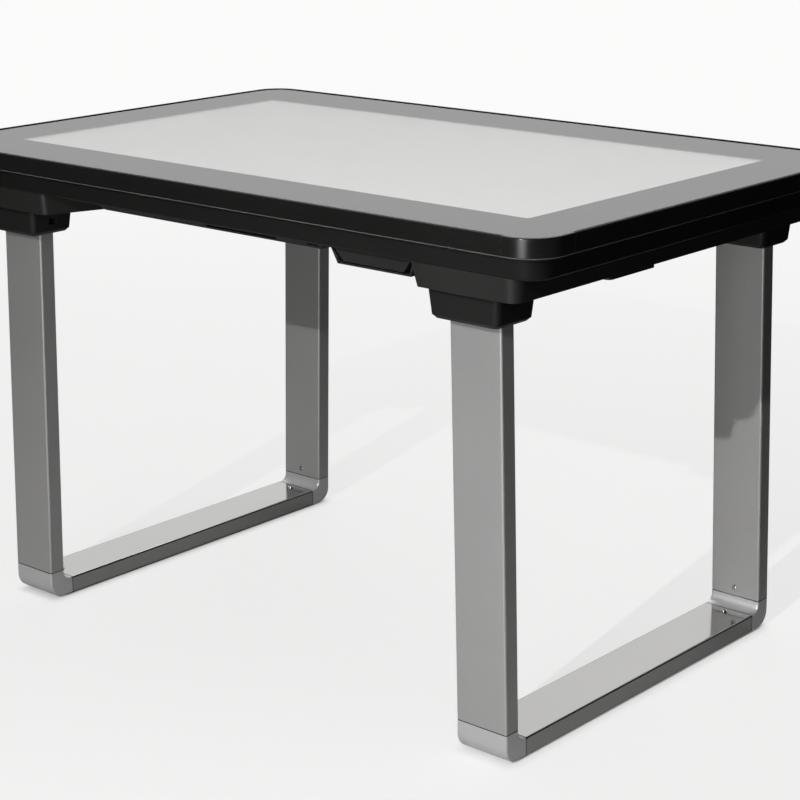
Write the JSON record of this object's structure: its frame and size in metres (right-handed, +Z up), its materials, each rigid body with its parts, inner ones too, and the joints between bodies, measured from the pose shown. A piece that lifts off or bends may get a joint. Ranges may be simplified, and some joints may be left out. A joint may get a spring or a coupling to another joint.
{
  "type": "electronic games table",
  "caption": "Low games table: a black framed top with a flat touch screen under glass, standing on U-shaped loops of flat silver-grey metal tube.",
  "frame": {"origin": "on the floor, under the middle of the table", "axes": "+X along the long side to the right, -Y to the front edge with the slots and the port hood, +Z up"},
  "size_m": [0.843, 0.553, 0.5165],
  "materials": {
    "frame_black": "satin",
    "cover_glass": "clear, with a printed grey border",
    "foam": "matte",
    "display": "dull, pale when off",
    "diffuser": "milky",
    "tray_metal": "bare sheet",
    "housing_black": "fine satin grain",
    "smoked_lens": "smoked",
    "key_black": "satin",
    "circuit_board": "solder mask",
    "speaker_black": "moulded",
    "leg_metal": "satin silver",
    "cast_corner": "painted satin silver",
    "strip_rubber": "matte",
    "screw_steel": "bright"
  },
  "bodies": {
    "table": {"backlight_tray": "tray_metal", "beam_screws": "screw_steel", "control_board": "circuit_board", "corner_cap_front_left": "frame_black", "corner_cap_front_right": "frame_black", "corner_cap_rear_left": "frame_black", "corner_cap_rear_right": "frame_black", "corner_screws": "screw_steel", "cover_glass": "cover_glass", "diffuser_plate": "diffuser", "driver_board": "circuit_board", "floor_bar_left": "leg_metal", "floor_bar_right": "leg_metal", "foot_corner_front_left": "cast_corner", "foot_corner_front_right": "cast_corner", "foot_corner_rear_left": "cast_corner", "foot_corner_rear_right": "cast_corner", "foot_strip_left": "strip_rubber", "foot_strip_right": "strip_rubber", "frame_screws": "screw_steel", "front_rail": "frame_black", "lcd_panel": "display", "left_beam": "housing_black", "left_beam_plate": "housing_black", "left_rail": "frame_black", "lower_housing": "housing_black", "main_board": "circuit_board", "panel_gasket": "foam", "port_hood": "housing_black", "port_plate": "housing_black", "post_front_left": "leg_metal", "post_front_right": "leg_metal", "post_lock_screws": "screw_steel", "post_rear_left": "leg_metal", "post_rear_right": "leg_metal", "power_inlet": "speaker_black", "rear_rail": "frame_black", "right_beam": "housing_black", "right_beam_plate": "housing_black", "right_rail": "frame_black", "socket_bolts": "screw_steel", "socket_front_left": "housing_black", "socket_front_right": "housing_black", "socket_rear_left": "housing_black", "socket_rear_right": "housing_black", "speaker_box": "speaker_black", "status_window": "smoked_lens"},
    "power_key": {"power_button": "key_black"},
    "volume_down_key": {"volume_down_button": "key_black"},
    "volume_up_key": {"volume_up_button": "key_black"}
  },
  "joints": [
    {"name": "power_key_press", "type": "slide", "parent": "table", "child": "power_key", "axis": [0, 0, 1], "range_m": [0, 0.0012], "stiffness_N_per_m": 600, "springref_m": -0.0008},
    {"name": "volume_down_key_press", "type": "slide", "parent": "table", "child": "volume_down_key", "axis": [0, 0, 1], "range_m": [0, 0.0012], "stiffness_N_per_m": 600, "springref_m": -0.0008},
    {"name": "volume_up_key_press", "type": "slide", "parent": "table", "child": "volume_up_key", "axis": [0, 0, 1], "range_m": [0, 0.0012], "stiffness_N_per_m": 600, "springref_m": -0.0008}
  ]
}
